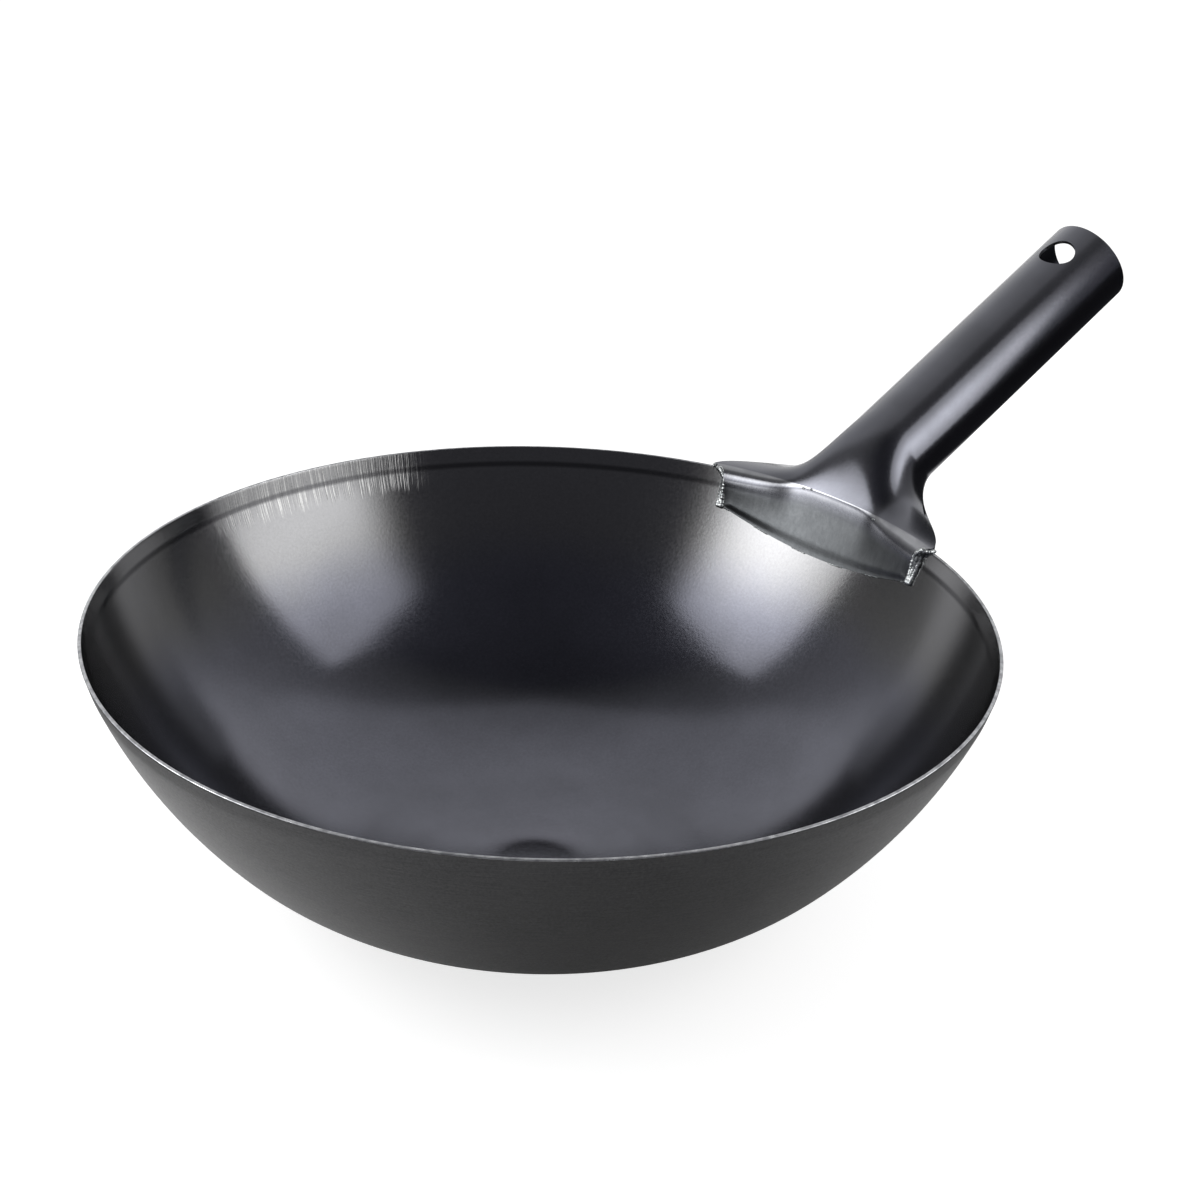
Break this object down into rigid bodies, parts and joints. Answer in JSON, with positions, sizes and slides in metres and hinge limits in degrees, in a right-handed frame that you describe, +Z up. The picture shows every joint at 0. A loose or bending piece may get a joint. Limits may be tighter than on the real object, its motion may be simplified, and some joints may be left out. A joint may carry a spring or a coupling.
{
  "type": "wok",
  "caption": "One-handled carbon steel wok: a pressed round bowl with a small flat base and a hollow handle rolled from sheet and lapped over the rim.",
  "frame": {"origin": "centre of the flat base on the bowl's axis, where the wok rests", "axes": "+Z up along the bowl's axis, +X from the bowl towards the handle's free end"},
  "size_m": [0.4459, 0.3, 0.1599],
  "materials": {
    "bowl_steel": "blued carbon steel, satin outside and glossier inside",
    "handle_steel": "blued carbon steel, smooth and half glossy",
    "weld": "bare weld metal, bright and uneven"
  },
  "bodies": {
    "root": {"bowl": "bowl_steel", "handle": "handle_steel", "leaf_end_weld_left": "weld", "leaf_end_weld_right": "weld", "leaf_seam_welds": "weld", "wing_tack_left": "weld", "wing_tack_right": "weld"}
  },
  "joints": []
}
